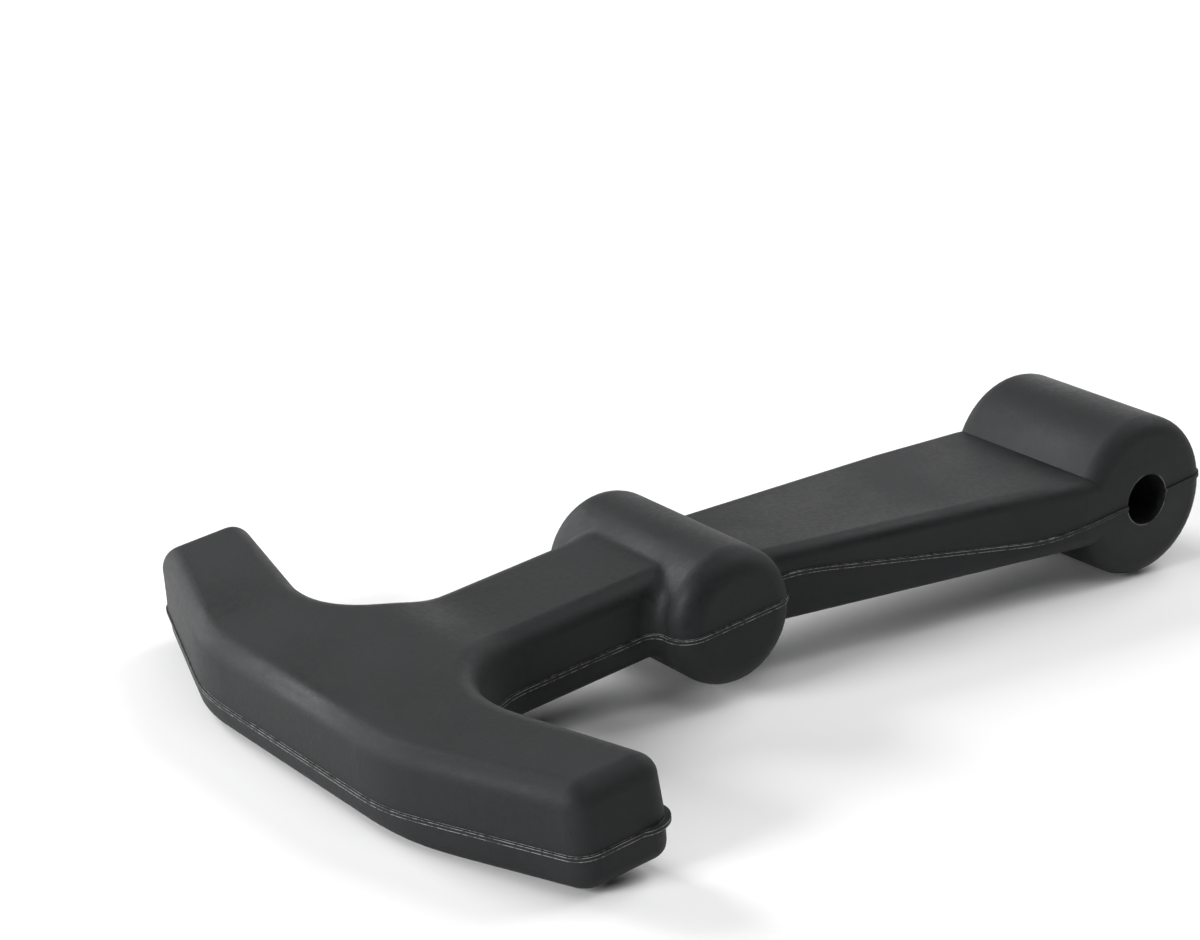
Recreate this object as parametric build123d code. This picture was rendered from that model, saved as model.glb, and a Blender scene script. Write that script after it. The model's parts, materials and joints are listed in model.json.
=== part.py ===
from build123d import *
import math
import os

# Rubber T draw latch: one solid moulding in black rubber.
#
# It is drawn in the frame of its mould. The origin is the middle of the cross barrel, +X runs
# along the shank to the T handle, Y runs across, and +Z is the way the mould opens. The two
# mould halves part at z = 0 on the handle, the shank and the barrel. The strap drops from the
# barrel to the pivot boss on the other side, and the parting surface drops with it.
# At the end the moulding is turned so that the strap lies level, and moved so that the pivot
# bore's middle is the origin. All lengths are in millimetres, and angles in degrees.

# Pivot boss: the rolled end that turns on the hinge pin.
bore_diameter = 6.5
boss_diameter = 20.4
boss_length = 25.0
boss_edge_radius = 2.2

# Strap: the flat band that stretches. It widens from the barrel to the full boss, and thins
# a little on its way into the boss.
pivot_to_barrel = 65.4
strap_drop_angle = 7.8
strap_rise = 4.65
strap_depth = 4.6
strap_root_width = 16.8
strap_edge_radius = 1.7
strap_thinning_start = 25.0
strap_thinning = 0.6

# Cross barrel: the round bar that drops into the keeper's hook.
barrel_diameter = 16.4
barrel_length = 27.6
barrel_edge_radius = 3.0
barrel_blend_radius = 2.0

# Shank: the short neck between the barrel and the handle. Its top rises softly to the
# handle's top where it spreads into the wings.
shank_width = 16.8
shank_height = 6.6
shank_depth = 3.45
handle_root_radius = 10.0
top_step_length = 10.0
top_step_setback = 1.0

# T handle: a bow of three flat fronts, with its two wings swept towards the barrel. The
# wings are a little deeper than the middle, which is level with the shank underneath.
handle_reach = 51.2
handle_height = 7.6
handle_span = 84.0
handle_waist = 15.4
front_flat_width = 36.9
front_sweep_angle = 19.5
front_corner_radius = 25.0
back_flat_length = 2.4
back_sweep_angle = 13.4
back_corner_radius = 15.0
tip_outer_radius = 3.0
tip_inner_radius = 2.5
wing_depth = 4.2
wing_depth_start = 13.0
wing_depth_length = 14.0
handle_draft = 3.0
top_edge_radius = 2.5
bottom_edge_radius = 1.7

# Flash bead: the fine ridge that the mould's joint leaves all round. It stands further out
# round the wings' inner corners, where the mould is vented. Beyond the barrel, the level of
# the joint bends down to the boss's own.
bead_width = 0.5
bead_height = 0.2
vent_height = 0.6
parting_level_past_barrel = 12.2
parting_level_before_boss = 16.6
parting_bend_radius = 30.0

# Worked out from the sizes above.
barrel_radius = barrel_diameter / 2
boss_radius = boss_diameter / 2
drop = math.radians(strap_drop_angle)
boss_x = -pivot_to_barrel * math.cos(drop)
boss_z = -pivot_to_barrel * math.sin(drop)
handle_back = handle_reach - handle_waist

# The blends stay within the straight shoulder that the barrel has beside the shank and strap.
shoulder_share = 0.85
barrel_shoulder = (barrel_length - max(shank_width, strap_root_width)) / 2 - barrel_edge_radius
barrel_blend = min(barrel_blend_radius, shoulder_share * barrel_shoulder)

# How near two places lie that count as one when edges are picked.
touching = 0.01


def tee_plan():
    """The handle and the shank seen along the mould's opening, at the parting plane."""
    half_span = handle_span / 2
    front_y = front_flat_width / 2
    back_y = shank_width / 2 + handle_root_radius + back_flat_length
    tip_front = handle_reach - (half_span - front_y) * math.tan(math.radians(front_sweep_angle))
    tip_back = handle_back - (half_span - back_y) * math.tan(math.radians(back_sweep_angle))
    corners = [
        ((handle_back, shank_width / 2), handle_root_radius),
        ((handle_back, back_y), back_corner_radius),
        ((tip_back, half_span), tip_inner_radius),
        ((tip_front, half_span), tip_outer_radius),
        ((handle_reach, front_y), front_corner_radius),
    ]
    upper = [point for point, radius in corners]
    radii = [radius for point, radius in corners]
    start = (0, shank_width / 2)
    mirrored = [(x, -y) for x, y in reversed([start] + upper)]
    outline = FilletPolyline(start, *upper, *mirrored, radius=[*radii, *reversed(radii)])
    return make_face(outline + Line(mirrored[-1], start))


def soft_step(start, end):
    """A curve from one point to another that leaves and arrives level."""
    middle = (start[0] + end[0]) / 2
    return Bezier(start, (middle, start[1]), (middle, end[1]), end)


def tee_front():
    """The handle seen from the front: flat on top, and deeper below at the wings."""
    step_end = wing_depth_start + wing_depth_length
    frame = Polyline(
        (wing_depth_start, -shank_depth),
        (0, -shank_depth),
        (0, handle_height),
        (handle_span, handle_height),
        (handle_span, -wing_depth),
        (step_end, -wing_depth),
    )
    step = soft_step((step_end, -wing_depth), (wing_depth_start, -shank_depth))
    right = make_face(frame + step)
    return Plane.YZ * (right + mirror(right, Plane.YZ))


def shank_relief():
    """What is cut away above the shank, up to where its top rises to the handle's."""
    step_end = handle_back - top_step_setback
    step_start = step_end - top_step_length
    sky = handle_height * 2
    frame = Polyline(
        (step_start, shank_height),
        (-barrel_radius, shank_height),
        (-barrel_radius, sky),
        (step_end, sky),
        (step_end, handle_height),
    )
    side = Plane.XZ * make_face(frame + soft_step((step_start, shank_height), (step_end, handle_height)))
    return extrude(side, shank_width / 2 + handle_root_radius, both=True)


def rim_edges(body, in_rim):
    """The edges round the tee's upright walls whose two ends lie at a height of the rim."""
    walls = body.faces().filter_by(lambda face: abs(face.normal_at().Z) < 0.5)
    edges = ShapeList(edge for wall in walls for edge in wall.edges())
    edges = edges.filter_by(lambda edge: max((edge @ 0).X, (edge @ 1).X) > barrel_radius / 2)
    return edges.filter_by(lambda edge: in_rim((edge @ 0).Z) and in_rim((edge @ 1).Z))


def tee():
    """The handle and the shank, drafted both ways from the parting plane, with soft edges."""
    half = extrude(tee_plan(), handle_height + wing_depth, taper=handle_draft)
    blank = half + mirror(half, Plane.XY)
    body = (blank & extrude(tee_front(), handle_reach)) - shank_relief()
    body = fillet(rim_edges(body, lambda z: z > shank_height - touching), top_edge_radius)
    return fillet(rim_edges(body, lambda z: z < touching - shank_depth), bottom_edge_radius)


def roller(diameter, length, edge_radius):
    """A round bar across the latch, centred on the origin, turned from its rounded profile."""
    flat_end = length / 2 - edge_radius
    flat_radius = diameter / 2 - edge_radius
    corner = EllipticalCenterArc((flat_end, flat_radius), edge_radius, edge_radius, arc_size=90)
    mirrored = mirror(corner, Plane.YZ)
    profile = corner + mirrored + Line(corner @ 1, mirrored @ 1)
    profile = profile + Polyline(corner @ 0, (length / 2, 0), (-length / 2, 0), mirrored @ 0)
    return revolve(Plane.YZ * make_face(profile), Axis.Y)


def strap_plan():
    """The level strap seen from above, from the barrel's middle to the boss's middle."""
    root = (-barrel_radius, strap_root_width / 2)
    tail = (boss_radius - pivot_to_barrel, boss_length / 2)
    slope = (tail[1] - root[1]) / (root[0] - tail[0])
    start = (0, root[1] - slope * barrel_radius)
    end = (-pivot_to_barrel, boss_length / 2)
    mirrored = [(x, -y) for x, y in (end, tail, start)]
    return make_face(Polyline(start, tail, end, *mirrored, close=True))


def strap():
    """The band with its soft long edges, turned down by its drop angle about the barrel."""
    thinning_x = strap_thinning_start - pivot_to_barrel
    side = Polyline(
        (0, -strap_depth),
        (0, strap_rise),
        (thinning_x, strap_rise),
        (-pivot_to_barrel, strap_rise - strap_thinning),
        (-pivot_to_barrel, -strap_depth),
        close=True,
    )
    tall = strap_rise + strap_depth
    band = extrude(strap_plan(), tall, both=True)
    band = band & extrude(Plane.XZ * make_face(side), boss_length, both=True)
    long_edges = band.edges().filter_by(lambda edge: abs((edge % 0.5).X) > 0.9)
    return Rot(0, -strap_drop_angle, 0) * fillet(long_edges, strap_edge_radius)


def blend_into_barrel(body, way):
    """Round the corner where the shank (way 1) or the strap (way -1) runs into the barrel."""
    def is_junction(edge):
        points = [edge @ 0, edge @ 0.5, edge @ 1]
        on_skin = all(abs(math.hypot(p.X, p.Z) - barrel_radius) < touching for p in points)
        widest = max(abs(p.Y) for p in points)
        on_shoulder = widest < barrel_length / 2 - barrel_edge_radius - touching
        return on_skin and on_shoulder and (edge @ 0.5).X * way > 0
    return fillet(body.edges().filter_by(is_junction), barrel_blend)


def parting_sheet():
    """A thin sheet, as thick as the flash bead, along the way in which the mould halves part."""
    past_handle = handle_reach + handle_height
    past_boss = boss_x - boss_diameter
    bends = [
        (past_handle, 0),
        (-parting_level_past_barrel, 0),
        (boss_x + parting_level_before_boss, boss_z),
        (past_boss, boss_z),
    ]
    above = [(x, z + bead_width / 2) for x, z in bends]
    below = [(x, z - bead_width / 2) for x, z in bends]
    upper = FilletPolyline(*above, radius=parting_bend_radius)
    lower = FilletPolyline(*below, radius=parting_bend_radius)
    ends = Line(above[0], below[0]) + Line(above[-1], below[-1])
    return extrude(Plane.XZ * make_face(upper + lower + ends), handle_span, both=True)


def bead():
    """A web through the moulding at the parting sheet, proud of it all round by the bead."""
    handle = tee_plan()
    barrel = RectangleRounded(barrel_diameter, barrel_length, barrel_edge_radius)
    boss = Pos(boss_x, 0) * RectangleRounded(boss_diameter, boss_length, boss_edge_radius)
    plan = handle + barrel + scale(strap_plan(), by=(math.cos(drop), 1, 1)) + boss
    inner = [v for v in plan.vertices() if abs(abs(v.X) - barrel_radius) < touching]
    inner = [v for v in inner if abs(v.Y) < barrel_length / 2 - barrel_edge_radius - touching]
    proud = offset(fillet(inner, barrel_blend), bead_height)
    for corner in handle.edges().filter_by(GeomType.CIRCLE):
        if abs(corner.radius - tip_inner_radius) < touching:
            proud = proud + Pos(corner.arc_center) * Circle(tip_inner_radius + vent_height)
    return extrude(proud, pivot_to_barrel, both=True) & parting_sheet()


# The shank's walls draft away from the parting plane, so its blends are made in each mould
# half by itself, and the strap's afterwards in one go.
front = tee() + roller(barrel_diameter, barrel_length, barrel_edge_radius)
mould_halves = [split(front, Plane.XY, keep=side) for side in (Keep.TOP, Keep.BOTTOM)]
upper, lower = [blend_into_barrel(half, 1) for half in mould_halves]
body = blend_into_barrel(upper + lower + strap(), -1)
body = body + Pos(boss_x, 0, boss_z) * roller(boss_diameter, boss_length, boss_edge_radius)
body = body + bead()
bore = Rot(90, 0, 0) * Cylinder(bore_diameter / 2, boss_length * 2)
body = body - Pos(boss_x, 0, boss_z) * bore

latch = Pos(pivot_to_barrel, 0, 0) * Rot(0, strap_drop_angle, 0) * body
os.makedirs("parts", exist_ok=True)
export_step(latch, "parts/latch_body.step")
print("Latch:", latch.bounding_box().size, "volume", round(latch.volume, 1))
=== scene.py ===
# %% [markdown]
# # Rubber T draw latch
# This latch is one soft rubber moulding. A bored boss turns on a hinge pin, a flat strap
# stretches, a cross barrel drops into a keeper, and a swept T handle is pulled by hand.
# The frame holds its exact shape, so this script gives it its finish, and then a floor,
# lamps and a camera. Everything is in metres, in the frame's own place.

# %% Load the frame
import json
import math

import bpy
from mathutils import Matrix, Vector


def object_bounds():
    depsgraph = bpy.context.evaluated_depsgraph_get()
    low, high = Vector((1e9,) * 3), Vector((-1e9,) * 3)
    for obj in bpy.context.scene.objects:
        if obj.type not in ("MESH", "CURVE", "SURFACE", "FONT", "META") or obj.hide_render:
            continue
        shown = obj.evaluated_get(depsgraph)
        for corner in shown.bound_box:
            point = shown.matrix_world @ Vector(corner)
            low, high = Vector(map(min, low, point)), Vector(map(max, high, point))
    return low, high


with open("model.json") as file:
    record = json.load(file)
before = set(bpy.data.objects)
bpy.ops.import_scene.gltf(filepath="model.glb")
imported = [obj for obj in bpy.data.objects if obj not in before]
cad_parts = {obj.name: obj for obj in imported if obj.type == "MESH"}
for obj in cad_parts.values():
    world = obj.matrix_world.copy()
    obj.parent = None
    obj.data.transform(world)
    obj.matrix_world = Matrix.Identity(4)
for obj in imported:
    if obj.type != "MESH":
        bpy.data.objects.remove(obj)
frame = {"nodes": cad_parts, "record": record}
cad_low, cad_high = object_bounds()
latch = frame["nodes"]["latch_body"]
bpy.ops.object.select_all(action="DESELECT")
MM = 0.001
print("latch size in mm:", [round(side / MM, 1) for side in cad_high - cad_low])

# %% [markdown]
# ## Landmarks
# The record says where the pin's bore and the keeper's seat are. The barrel stands between
# them and the handle, so the flash line and the lamps are placed from these two points, and
# the floor from the latch's own box. The camera's place is given in fixed numbers.

# %% Landmarks from the record
mounts = {mount["name"]: mount for mount in frame["record"]["mounts"]}
bore_middle = Vector(mounts["pivot_bore"]["pos_m"])
barrel_middle = Vector(mounts["keeper_seat"]["pos_m"])
pivot_to_barrel = (barrel_middle - bore_middle).length
latch_length = cad_high.x - cad_low.x
floor_height = cad_low.z
print("pivot to barrel in mm:", round(pivot_to_barrel / MM, 1))


# %% [markdown]
# ## Small helpers for node trees
# A finish is a chain of shader nodes. A few helpers keep the chains short to write: one adds
# a node and fills in its inputs, others do a sum, stretch a range or mix two colours, and
# the last makes the empty node group that an effect goes in, so that any material can use it.

# %% Node helpers
def add_node(tree, kind, links=None, **settings):
    """Adds a node, sets its properties, and links or fills its inputs by name or number."""
    node = tree.nodes.new(kind)
    for name, value in settings.items():
        setattr(node, name, value)
    for socket, value in (links or {}).items():
        if isinstance(value, bpy.types.NodeSocket):
            tree.links.new(value, node.inputs[socket])
        else:
            node.inputs[socket].default_value = value
    return node


def maths(tree, operation, *values):
    """Adds a Math node with these inputs and returns its result."""
    return add_node(tree, "ShaderNodeMath", dict(enumerate(values)), operation=operation).outputs[0]


def stretched(tree, value, low, high, new_low=0.0, new_high=1.0):
    """Adds a Map Range node that takes low..high to new_low..new_high, and returns its result."""
    sockets = {"Value": value, "From Min": low, "From Max": high, "To Min": new_low, "To Max": new_high}
    return add_node(tree, "ShaderNodeMapRange", sockets).outputs["Result"]


def mixed(tree, factor, first, second):
    """Adds a colour Mix node, whose colours are its inputs 6 and 7, and returns its result."""
    sockets = {"Factor": factor, 6: first, 7: second}
    return add_node(tree, "ShaderNodeMix", sockets, data_type="RGBA").outputs[2]


def noise(tree, place, scale, **settings):
    """Adds a Noise Texture and returns its value. A bigger scale makes finer noise."""
    return add_node(tree, "ShaderNodeTexNoise", {"Vector": place, "Scale": scale, **settings}).outputs["Fac"]


def grey(tone):
    """A neutral colour."""
    return (tone, tone, tone, 1)


def direction(azimuth, elevation):
    """The way to look from the latch, in degrees. Azimuth is from +X towards +Y."""
    turn, lift = math.radians(azimuth), math.radians(elevation)
    return Vector((math.cos(turn) * math.cos(lift), math.sin(turn) * math.cos(lift), math.sin(lift)))


def new_group(name, inputs, outputs):
    """Makes a shader node group with named sockets, each given as a kind and a value."""
    tree = bpy.data.node_groups.new(name, "ShaderNodeTree")
    for label, (kind, value) in inputs.items():
        socket = tree.interface.new_socket(label, in_out="INPUT", socket_type="NodeSocket" + kind)
        if value is not None:
            socket.default_value = value
    for label, kind in outputs.items():
        tree.interface.new_socket(label, in_out="OUTPUT", socket_type="NodeSocket" + kind)
    return tree, tree.nodes.new("NodeGroupInput"), tree.nodes.new("NodeGroupOutput")


# %% [markdown]
# ## The tone of moulded rubber
# Black rubber is never quite one tone. It is a little greyer in soft clouds, where it was
# handled and where wax has come to the surface, and it has fine specks from the mould. Two
# noises of very different scale give both. They are one group, so that another rubber could
# use them with its own scales and greys. A noise keeps near its middle, so its middle part
# is stretched to reach both tones.

# %% Tone group
def build_tone_group():
    """Soft clouds and fine specks between a dark and a light tone."""
    tree, given, result = new_group(
        "rubber_tone",
        {
            "Place": ("Vector", None),
            "Cloud Scale": ("Float", 55.0),
            "Speck Scale": ("Float", 1500.0),
            "Speck Share": ("Float", 0.3),
            "Dark": ("Color", grey(0.02)),
            "Light": ("Color", grey(0.04)),
        },
        {"Color": "Color", "Amount": "Float"},
    )
    place = given.outputs["Place"]
    cloud = noise(tree, place, given.outputs["Cloud Scale"], Detail=4.0, Roughness=0.5)
    speck = noise(tree, place, given.outputs["Speck Scale"], Detail=2.0, Roughness=0.6)
    both = add_node(tree, "ShaderNodeMix", {"Factor": given.outputs["Speck Share"], 2: cloud, 3: speck})
    amount = stretched(tree, both.outputs[0], 0.36, 0.64)
    colour = mixed(tree, amount, given.outputs["Dark"], given.outputs["Light"])
    tree.links.new(colour, result.inputs["Color"])
    tree.links.new(amount, result.inputs["Amount"])
    return tree


rubber_tone = build_tone_group()
print("group made:", rubber_tone.name)


# %% [markdown]
# ## Where the mould halves part
# The halves of the mould leave a fine flat bead all round the latch. Its two edges are ragged
# where the flash was torn off, and they are painted pale: partly pale torn flash and partly a
# painted highlight, the light that the edges catch. The frame already has the bead. To find its
# edges, a point is first turned about the barrel into the mould's own level. There the
# parting surface is level under the handle, the shank and the barrel, falls along the
# strap, and is level again at the boss, with soft bends between. A point's height above
# that surface then tells a material whether it is on an edge of the bead. Its two narrow
# ledges keep the rubber's colour, since the lamps light them, and the pale lines fade out
# towards the bore.

# %% Sizes of the parting surface
STRAP_DROP = math.radians(7.8)
LEVEL_PAST_BARREL = 12.2 * MM
LEVEL_BEFORE_BOSS = 16.6 * MM
BEND_SOFTNESS = 1.3 * MM
BEAD_HALF_WIDTH = 0.25 * MM
LEDGE_TOLERANCE = 0.01 * MM
# Near the bore, within this distance along X, the pale lines of painted highlight are left out.
HIGHLIGHT_GONE_WITHIN = 2.0 * MM
WHOLE_BEYOND = 20.0 * MM
boss_fall = pivot_to_barrel * math.sin(STRAP_DROP)
falling_run = pivot_to_barrel * math.cos(STRAP_DROP) - LEVEL_PAST_BARREL - LEVEL_BEFORE_BOSS
print("the parting surface falls in mm:", round(boss_fall / MM, 2), "over", round(falling_run / MM, 1))


# %% Parting edge group
def build_flash_group():
    """Two ragged lines, one along each edge of the flash bead, and the flat between them."""
    tree, given, result = new_group(
        "flash_edges",
        {
            "Place": ("Vector", None),
            "Half Width": ("Float", 0.24 * MM),
            "Line Width": ("Float", 0.05 * MM),
            "Wander": ("Float", 0.05 * MM),
            "Break Scale": ("Float", 1000.0),
        },
        {"Lines": "Float", "Flat": "Float"},
    )
    place = given.outputs["Place"]
    level = add_node(tree, "ShaderNodeVectorRotate",
                     {"Vector": place, "Center": barrel_middle, "Axis": (0, 1, 0), "Angle": -STRAP_DROP})
    apart = add_node(tree, "ShaderNodeSeparateXYZ", {"Vector": level.outputs[0]})
    past_bend = maths(tree, "SUBTRACT", apart.outputs["X"], barrel_middle.x - LEVEL_PAST_BARREL)
    falling = maths(tree, "MULTIPLY", past_bend, boss_fall / falling_run)
    surface = maths(tree, "SMOOTH_MIN", falling, barrel_middle.z, BEND_SOFTNESS)
    surface = maths(tree, "SMOOTH_MAX", surface, barrel_middle.z - boss_fall, BEND_SOFTNESS)
    height = maths(tree, "SUBTRACT", apart.outputs["Z"], surface)
    wander = noise(tree, place, given.outputs["Break Scale"], Detail=2.0)
    sway = maths(tree, "MULTIPLY", maths(tree, "SUBTRACT", wander, 0.5), given.outputs["Wander"])
    away = maths(tree, "ABSOLUTE", maths(tree, "ADD", height, sway))
    off_edge = maths(tree, "ABSOLUTE", maths(tree, "SUBTRACT", away, given.outputs["Half Width"]))
    wide = maths(tree, "MULTIPLY", given.outputs["Line Width"], 2.0)
    # Lines: a painted highlight along each edge of the bead, partly pale torn flash, broken up and left off
    # the ledges.
    line = stretched(tree, off_edge, given.outputs["Line Width"], wide, 1.0, 0.0)
    breaks = noise(tree, place, given.outputs["Break Scale"], Detail=4.0, Roughness=0.7, Distortion=1.0)
    whole = stretched(tree, breaks, 0.42, 0.56, 0.15, 1.0)
    level_off = maths(tree, "ABSOLUTE", height)
    on_ledge = maths(tree, "COMPARE", level_off, BEAD_HALF_WIDTH, LEDGE_TOLERANCE)
    off_ledge = maths(tree, "SUBTRACT", 1.0, on_ledge)
    along = add_node(tree, "ShaderNodeSeparateXYZ", {"Vector": place}).outputs["X"]
    kept = stretched(tree, along, HIGHLIGHT_GONE_WITHIN, WHOLE_BEYOND)
    ragged = maths(tree, "MULTIPLY", line, whole)
    lines = maths(tree, "MULTIPLY", ragged, maths(tree, "MULTIPLY", off_ledge, kept))
    inside = maths(tree, "LESS_THAN", away, maths(tree, "SUBTRACT", given.outputs["Half Width"], wide))
    tree.links.new(lines, result.inputs["Lines"])
    tree.links.new(maths(tree, "MULTIPLY", inside, kept), result.inputs["Flat"])
    return tree


flash_edges = build_flash_group()
print("group made:", flash_edges.name)


# %% [markdown]
# ## Rim of the bore
# The pin's bore leaves a fine torn rim where it breaks through the boss's two flat ends, and
# that edge catches the light. It is too thin to model, so it is painted as a pale ring, partly
# torn rubber and partly painted highlight, on the points a little further from the bore's axis
# than its wall, and only those that lie on the two ends.

# %% Bore rim group
def build_rim_group():
    """A thin ring round the bore at both ends of the boss."""
    tree, given, result = new_group(
        "bore_rim",
        {
            "Place": ("Vector", None),
            "Radius": ("Float", 3.32 * MM),
            "Half Width": ("Float", 0.07 * MM),
            "Half Length": ("Float", 12.4 * MM),
            "Break Scale": ("Float", 500.0),
        },
        {"Rim": "Float"},
    )
    place = given.outputs["Place"]
    apart = add_node(tree, "ShaderNodeSeparateXYZ", {"Vector": place})
    level = add_node(tree, "ShaderNodeCombineXYZ", {"X": apart.outputs["X"], "Z": apart.outputs["Z"]})
    length = add_node(tree, "ShaderNodeVectorMath", {0: level.outputs[0]}, operation="LENGTH")
    radius = length.outputs["Value"]
    near = maths(tree, "COMPARE", radius, given.outputs["Radius"], given.outputs["Half Width"])
    off_middle = maths(tree, "ABSOLUTE", apart.outputs["Y"])
    at_end = maths(tree, "GREATER_THAN", off_middle, given.outputs["Half Length"])
    whole = stretched(tree, noise(tree, place, given.outputs["Break Scale"], Detail=3.0), 0.4, 0.6)
    # The ring is painted pale: partly torn rim, partly painted highlight where the bore's edge catches the
    # light.
    rim = maths(tree, "MULTIPLY", maths(tree, "MULTIPLY", near, at_end), whole)
    tree.links.new(rim, result.inputs["Rim"])
    return tree


bore_rim = build_rim_group()
print("group made:", bore_rim.name)


# %% [markdown]
# ## Black rubber
# Moulded rubber is matte, so the Principled shader has a low specular level and a high
# roughness, and both its clouds and its grain change how it shines more than its colour.
# Its sheen is a little blue. The flash's torn edges are painted pale, partly as pale torn
# flash and partly as a painted highlight where they catch the light. The flat between them is
# a shade darker, and the bore's rim, painted pale the same way, is fainter than the flash.

# %% Rubber material
DARK_RUBBER = (0.0054, 0.0058, 0.0060, 1)
LIGHT_RUBBER = (0.0165, 0.0171, 0.0175, 1)
BLUE_SHEEN = (0.94, 0.96, 1.0, 1)
SHADED_FLAT = grey(0.008)
# Pale grey of the flash's edges and the bore's rim: partly torn flash, partly painted highlight.
PALE_FLASH_AND_HIGHLIGHT = grey(0.28)
FLAT_SHARE = 0.35
RIM_SHARE = 0.4


def build_rubber():
    """Matte black rubber with soft clouds, a fine mould grain, and pale flash edges that are partly painted
    highlight.
    """
    material = bpy.data.materials.new("moulded_black_rubber")
    material.use_nodes = True
    tree = material.node_tree
    shader = tree.nodes["Principled BSDF"]
    place = add_node(tree, "ShaderNodeTexCoord").outputs["Object"]
    tone = add_node(tree, "ShaderNodeGroup", node_tree=rubber_tone)
    flash = add_node(tree, "ShaderNodeGroup", node_tree=flash_edges)
    rim = add_node(tree, "ShaderNodeGroup", node_tree=bore_rim)
    tree.links.new(place, flash.inputs["Place"])
    tree.links.new(place, rim.inputs["Place"])
    tree.links.new(place, tone.inputs["Place"])
    tone.inputs["Dark"].default_value = DARK_RUBBER
    tone.inputs["Light"].default_value = LIGHT_RUBBER
    flat = maths(tree, "MULTIPLY", flash.outputs["Flat"], FLAT_SHARE)
    shade = mixed(tree, flat, tone.outputs["Color"], SHADED_FLAT)
    faint_rim = maths(tree, "MULTIPLY", rim.outputs["Rim"], RIM_SHARE)
    # Painted highlight along the flash's edges and the bore's rim, partly pale torn rubber.
    ragged = maths(tree, "MAXIMUM", flash.outputs["Lines"], faint_rim)
    tree.links.new(mixed(tree, ragged, shade, PALE_FLASH_AND_HIGHLIGHT), shader.inputs["Base Color"])
    tree.links.new(stretched(tree, tone.outputs["Amount"], 0.0, 1.0, 0.48, 0.74), shader.inputs["Roughness"])
    swell = noise(tree, place, 160.0, Detail=2.0)
    grain = noise(tree, place, 2600.0, Detail=3.0, Roughness=0.6)
    soft = add_node(tree, "ShaderNodeBump", {"Height": swell, "Strength": 0.5, "Distance": 0.1 * MM})
    fine = {"Height": grain, "Strength": 0.5, "Distance": 0.05 * MM, "Normal": soft.outputs["Normal"]}
    bump = add_node(tree, "ShaderNodeBump", fine)
    tree.links.new(bump.outputs["Normal"], shader.inputs["Normal"])
    shader.inputs["Specular IOR Level"].default_value = 0.3
    shader.inputs["Specular Tint"].default_value = BLUE_SHEEN
    return material


latch.data.materials.clear()
latch.data.materials.append(build_rubber())
print("finish given to", latch.name)

# %% [markdown]
# ## Floor
# The latch lies on a plain pale sweep, big enough to fill any view. The paper itself is a
# light grey, so that it doesn't flood the latch's dark undersides with light. Rays from the
# camera, a gloss or a glass see it as nearly white, and its shadow keeps its whole depth.

# %% Floor
def build_floor_finish(paper, seen_as):
    """Paper of one grey, which rays from the camera or off a gloss see as a lighter one."""
    material = bpy.data.materials.new("white_paper")
    material.use_nodes = True
    tree = material.node_tree
    shader = tree.nodes["Principled BSDF"]
    shader.inputs["Roughness"].default_value = 1.0
    shader.inputs["Specular IOR Level"].default_value = 0.0
    path = add_node(tree, "ShaderNodeLightPath")
    seen = maths(tree, "MAXIMUM", path.outputs["Is Camera Ray"], path.outputs["Is Glossy Ray"])
    seen = maths(tree, "MAXIMUM", seen, path.outputs["Is Transmission Ray"])
    tree.links.new(mixed(tree, seen, grey(paper), grey(seen_as)), shader.inputs["Base Color"])
    return material


FLOOR_SPREAD = 60
bpy.ops.mesh.primitive_plane_add(size=latch_length * FLOOR_SPREAD, location=(0, 0, floor_height))
floor = bpy.context.active_object
floor.name = "floor"
floor.data.materials.append(build_floor_finish(paper=0.8, seen_as=0.965))
print("floor at height in mm:", round(floor_height / MM, 2))

# %% [markdown]
# ## Light
# Black rubber shows its shape by the sheen on its faces more than by its colour. Two small
# softboxes on the left, one very low and one higher, and a third in front brighten the
# handle's fronts and the rounded edges. Bigger ones behind light the tops and keep the
# shadow short and close under the latch, and a weak one high on the near side opens the
# shadow a little. The room itself gives almost no light, but the camera sees it as white.

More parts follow.
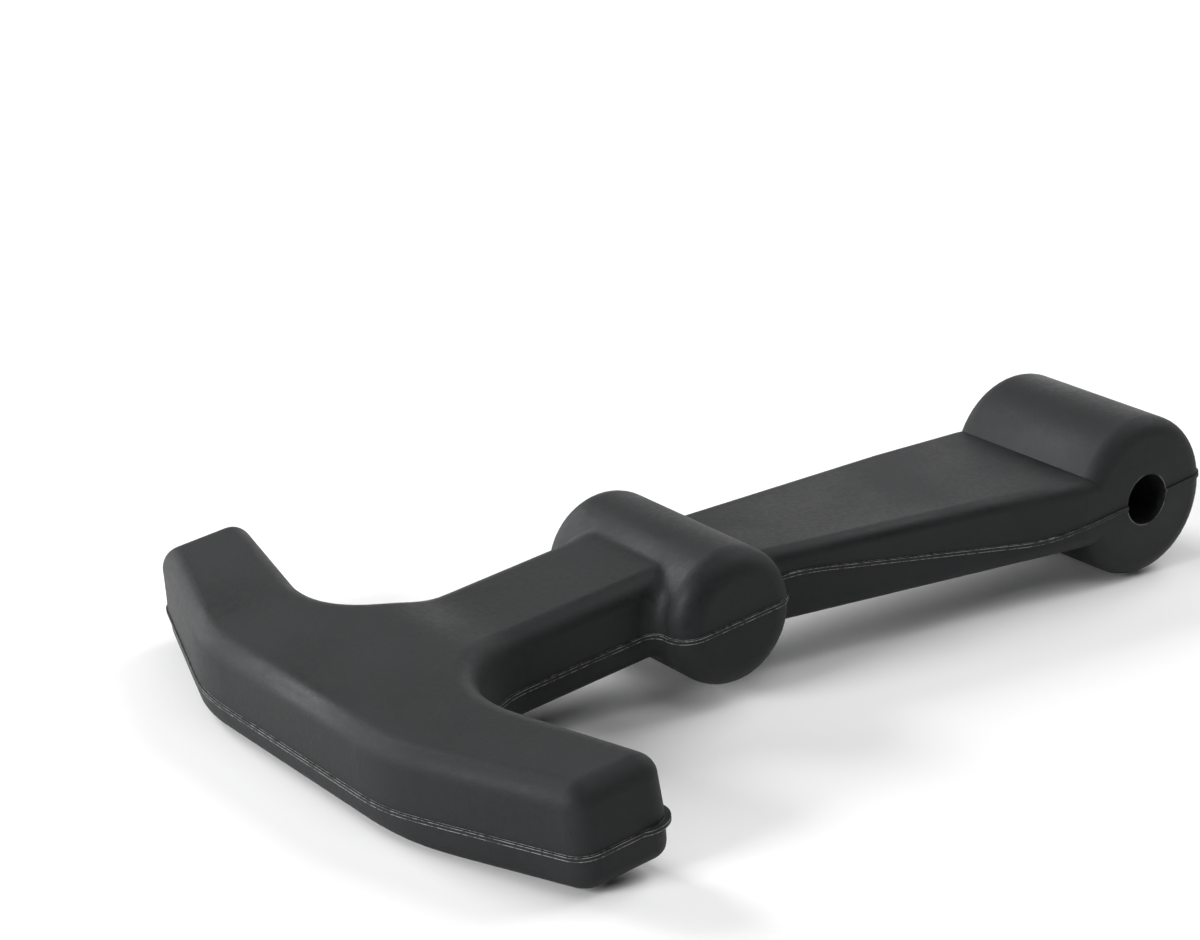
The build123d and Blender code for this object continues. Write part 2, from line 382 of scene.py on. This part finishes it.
# %% Lamps and world
LAMP_DISTANCE = 1.2
ROOM_LIGHT = 0.02
ROOM_AS_SEEN = 1.0


def add_softbox(name, azimuth, elevation, side, energy):
    """A square lamp that looks at the barrel from a direction in degrees."""
    away = direction(azimuth, elevation)
    data = bpy.data.lights.new(name, "AREA")
    data.size = side
    data.energy = energy
    lamp = bpy.data.objects.new(name, data)
    lamp.location = barrel_middle + away * LAMP_DISTANCE
    lamp.rotation_euler = (-away).to_track_quat("-Z", "Y").to_euler()
    bpy.context.scene.collection.objects.link(lamp)


add_softbox("low_left_softbox", azimuth=-60, elevation=8, side=0.5, energy=7.4)
add_softbox("left_softbox", azimuth=-75, elevation=33, side=0.5, energy=8.4)
add_softbox("front_softbox", azimuth=0, elevation=20, side=0.5, energy=13.6)
add_softbox("back_left_softbox", azimuth=-135, elevation=12, side=0.8, energy=3.5)
add_softbox("back_softbox", azimuth=180, elevation=40, side=0.8, energy=8.3)
add_softbox("high_right_softbox", azimuth=90, elevation=65, side=0.8, energy=3.1)

world = bpy.data.worlds.new("white_room")
world.use_nodes = True
bpy.context.scene.world = world
room = world.node_tree
path = add_node(room, "ShaderNodeLightPath")
strength = stretched(room, path.outputs["Is Camera Ray"], 0.0, 1.0, ROOM_LIGHT, ROOM_AS_SEEN)
room.links.new(strength, room.nodes["Background"].inputs["Strength"])
room.nodes["Background"].inputs["Color"].default_value = grey(1)

# %% [markdown]
# ## Camera
# A long lens from the handle's near side, a little above, shows the flats of the handle,
# the barrel's round end and the bore through the boss.

# %% Camera
camera_data = bpy.data.cameras.new("camera")
camera_data.sensor_width = 36.0
camera_data.lens = 94.44
camera = bpy.data.objects.new("camera", camera_data)
camera_distance = 0.39983
aim = Vector((0.04804, -0.03636, 0.0))
away = direction(53.55, 19.61)
camera.location = aim + away * camera_distance
camera.rotation_euler = (-away).to_track_quat("-Z", "Y").to_euler()
bpy.context.scene.collection.objects.link(camera)
bpy.context.scene.camera = camera
bpy.context.scene.view_settings.view_transform = "Standard"
print("camera in mm:", [round(place / MM, 1) for place in camera.location])
